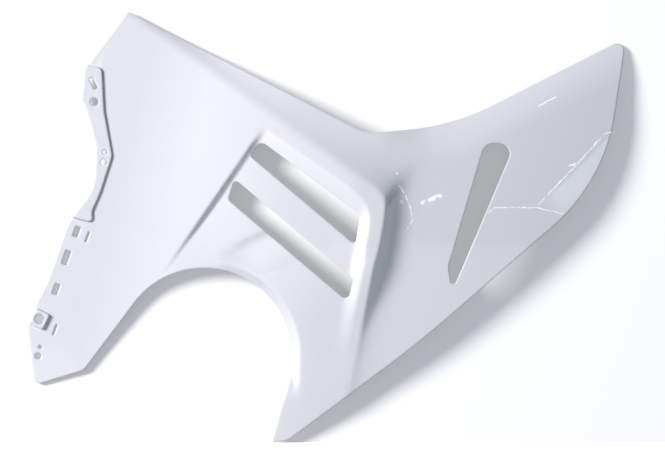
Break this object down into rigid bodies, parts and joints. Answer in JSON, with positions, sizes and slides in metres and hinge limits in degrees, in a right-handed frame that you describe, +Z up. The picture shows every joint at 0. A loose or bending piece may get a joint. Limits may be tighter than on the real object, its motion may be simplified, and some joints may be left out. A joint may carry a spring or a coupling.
{
  "type": "motorbike front fairing panel",
  "caption": "Gloss white moulded side panel of a motorbike's front fairing, with a raised crest, a louvred recess, a long slit, a round engine cut-out and a rear fixing flange.",
  "frame": {"origin": "centre of the upper fixing hole, on the outer face of the flange", "axes": "+X forward along the motorbike, +Z up, the painted side faces -Y"},
  "size_m": [0.7978, 0.0783, 0.574],
  "materials": {
    "paint": "gloss white paint on moulded plastic"
  },
  "bodies": {
    "root": {"fairing_panel": "paint"}
  },
  "joints": []
}
